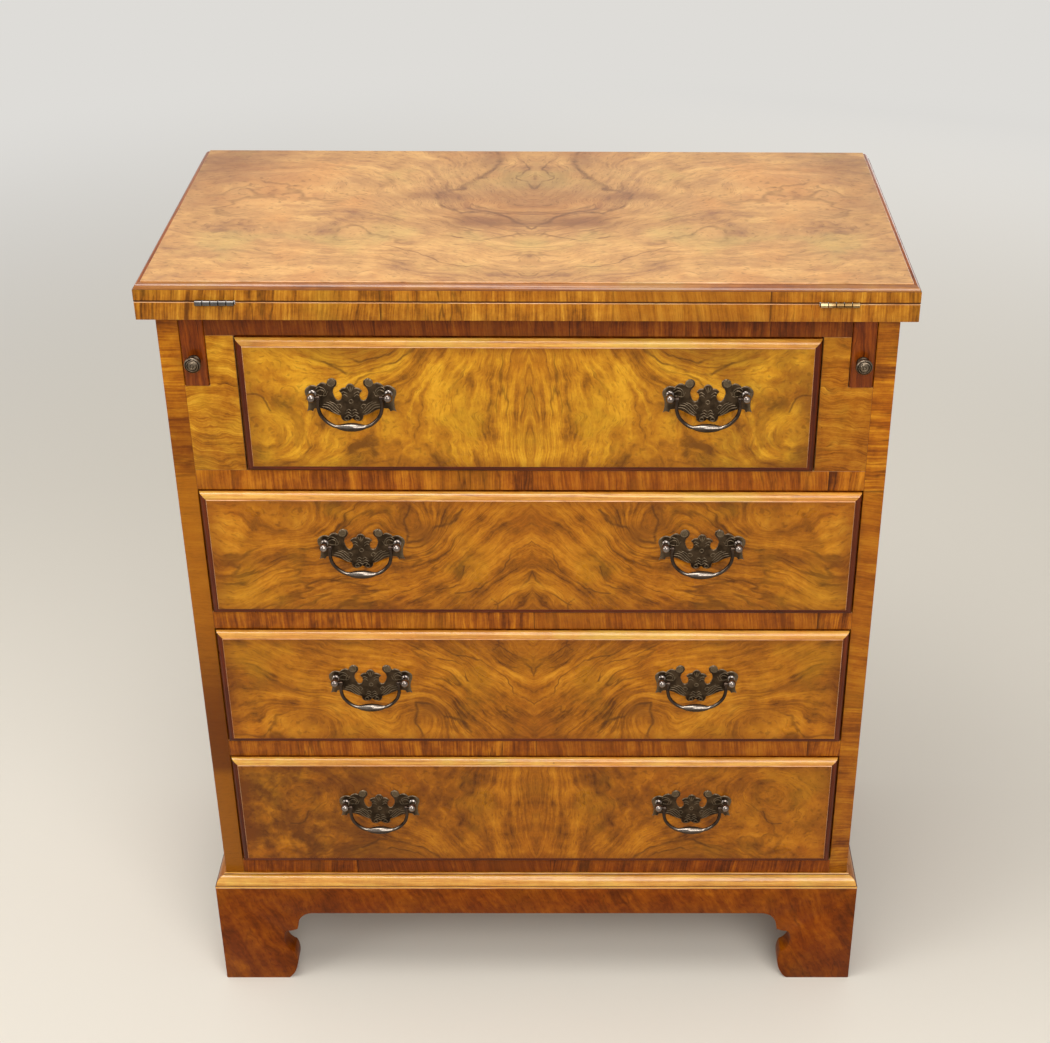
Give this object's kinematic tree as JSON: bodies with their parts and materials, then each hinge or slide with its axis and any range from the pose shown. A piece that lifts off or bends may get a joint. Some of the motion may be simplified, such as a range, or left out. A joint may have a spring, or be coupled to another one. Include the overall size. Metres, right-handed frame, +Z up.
{
  "type": "bachelors chest",
  "caption": "Walnut bachelors chest with a fold-over top on pull-out lopers, a narrow top drawer, full-width drawers, bail handles and a bracket base.",
  "frame": {"origin": "on the floor, below the middle of the bounding box", "axes": "+Z up, the front with its drawers faces -Y, +X to the right of someone who faces the front"},
  "size_m": [0.64, 0.3316, 0.765],
  "materials": {
    "top_veneer": "polished burr walnut veneer",
    "drawer_veneer": "polished book-matched walnut veneer",
    "case_veneer": "polished straight-grained walnut veneer",
    "rail_banding": "polished cross-banded walnut",
    "base_veneer": "polished red-brown walnut",
    "loper_wood": "polished red-brown solid wood",
    "lining_wood": "bare oak",
    "back_board": "bare board",
    "antique_brass": "dark patinated brass, worn bright on edges",
    "hinge_brass": "worn bright brass"
  },
  "bodies": {
    "case": {"side_panel_left": "case_veneer", "side_panel_right": "case_veneer", "back_panel": "back_board", "fixed_top": "top_veneer", "hinge_fixed_left": "hinge_brass", "hinge_fixed_right": "hinge_brass", "top_rail": "rail_banding", "divider_1": "rail_banding", "divider_2": "rail_banding", "divider_3": "rail_banding", "case_bottom": "rail_banding", "stile_left": "rail_banding", "stile_right": "rail_banding", "loper_guide_left": "lining_wood", "loper_guide_right": "lining_wood", "base_front": "base_veneer", "base_side_left": "base_veneer", "base_side_right": "base_veneer", "base_back": "back_board"},
    "leaf": {"fold_leaf": "top_veneer", "hinge_moving_left": "hinge_brass", "hinge_moving_right": "hinge_brass"},
    "loper_left": {"loper_left": "loper_wood"},
    "loper_right": {"loper_right": "loper_wood"},
    "drawer_1": {"drawer_1_front": "drawer_veneer", "drawer_1_side_left": "lining_wood", "drawer_1_side_right": "lining_wood", "drawer_1_back": "lining_wood", "drawer_1_bottom": "lining_wood", "drawer_1_plate_left": "antique_brass", "drawer_1_plate_right": "antique_brass"},
    "drawer_1_bail_left": {"drawer_1_bail_left": "antique_brass"},
    "drawer_1_bail_right": {"drawer_1_bail_right": "antique_brass"},
    "drawer_2": {"drawer_2_front": "drawer_veneer", "drawer_2_side_left": "lining_wood", "drawer_2_side_right": "lining_wood", "drawer_2_back": "lining_wood", "drawer_2_bottom": "lining_wood", "drawer_2_plate_left": "antique_brass", "drawer_2_plate_right": "antique_brass"},
    "drawer_2_bail_left": {"drawer_2_bail_left": "antique_brass"},
    "drawer_2_bail_right": {"drawer_2_bail_right": "antique_brass"},
    "drawer_3": {"drawer_3_front": "drawer_veneer", "drawer_3_side_left": "lining_wood", "drawer_3_side_right": "lining_wood", "drawer_3_back": "lining_wood", "drawer_3_bottom": "lining_wood", "drawer_3_plate_left": "antique_brass", "drawer_3_plate_right": "antique_brass"},
    "drawer_3_bail_left": {"drawer_3_bail_left": "antique_brass"},
    "drawer_3_bail_right": {"drawer_3_bail_right": "antique_brass"},
    "drawer_4": {"drawer_4_front": "drawer_veneer", "drawer_4_side_left": "lining_wood", "drawer_4_side_right": "lining_wood", "drawer_4_back": "lining_wood", "drawer_4_bottom": "lining_wood", "drawer_4_plate_left": "antique_brass", "drawer_4_plate_right": "antique_brass"},
    "drawer_4_bail_left": {"drawer_4_bail_left": "antique_brass"},
    "drawer_4_bail_right": {"drawer_4_bail_right": "antique_brass"}
  },
  "joints": [
    {"name": "leaf_fold", "type": "hinge", "parent": "case", "child": "leaf", "pos_m": [0, -0.16135, 0.749], "axis": [1, 0, 0], "range_deg": [0, 180]},
    {"name": "loper_left_slide", "type": "slide", "parent": "case", "child": "loper_left", "axis": [0, -1, 0], "range_m": [0, 0.215]},
    {"name": "loper_right_slide", "type": "slide", "parent": "case", "child": "loper_right", "axis": [0, -1, 0], "range_m": [0, 0.215]},
    {"name": "drawer_1_slide", "type": "slide", "parent": "case", "child": "drawer_1", "axis": [0, -1, 0], "range_m": [0, 0.215]},
    {"name": "drawer_1_bail_left_swing", "type": "hinge", "parent": "drawer_1", "child": "drawer_1_bail_left", "pos_m": [-0.15, -0.16205, 0.6638], "axis": [-1, 0, 0], "range_deg": [0, 110]},
    {"name": "drawer_1_bail_right_swing", "type": "hinge", "parent": "drawer_1", "child": "drawer_1_bail_right", "pos_m": [0.15, -0.16205, 0.6638], "axis": [-1, 0, 0], "range_deg": [0, 110]},
    {"name": "drawer_2_slide", "type": "slide", "parent": "case", "child": "drawer_2", "axis": [0, -1, 0], "range_m": [0, 0.215]},
    {"name": "drawer_2_bail_left_swing", "type": "hinge", "parent": "drawer_2", "child": "drawer_2_bail_left", "pos_m": [-0.15, -0.16205, 0.5174], "axis": [-1, 0, 0], "range_deg": [0, 110]},
    {"name": "drawer_2_bail_right_swing", "type": "hinge", "parent": "drawer_2", "child": "drawer_2_bail_right", "pos_m": [0.15, -0.16205, 0.5174], "axis": [-1, 0, 0], "range_deg": [0, 110]},
    {"name": "drawer_3_slide", "type": "slide", "parent": "case", "child": "drawer_3", "axis": [0, -1, 0], "range_m": [0, 0.215]},
    {"name": "drawer_3_bail_left_swing", "type": "hinge", "parent": "drawer_3", "child": "drawer_3_bail_left", "pos_m": [-0.15, -0.16205, 0.3723], "axis": [-1, 0, 0], "range_deg": [0, 110]},
    {"name": "drawer_3_bail_right_swing", "type": "hinge", "parent": "drawer_3", "child": "drawer_3_bail_right", "pos_m": [0.15, -0.16205, 0.3723], "axis": [-1, 0, 0], "range_deg": [0, 110]},
    {"name": "drawer_4_slide", "type": "slide", "parent": "case", "child": "drawer_4", "axis": [0, -1, 0], "range_m": [0, 0.215]},
    {"name": "drawer_4_bail_left_swing", "type": "hinge", "parent": "drawer_4", "child": "drawer_4_bail_left", "pos_m": [-0.15, -0.16205, 0.22642], "axis": [-1, 0, 0], "range_deg": [0, 110]},
    {"name": "drawer_4_bail_right_swing", "type": "hinge", "parent": "drawer_4", "child": "drawer_4_bail_right", "pos_m": [0.15, -0.16205, 0.22642], "axis": [-1, 0, 0], "range_deg": [0, 110]}
  ]
}
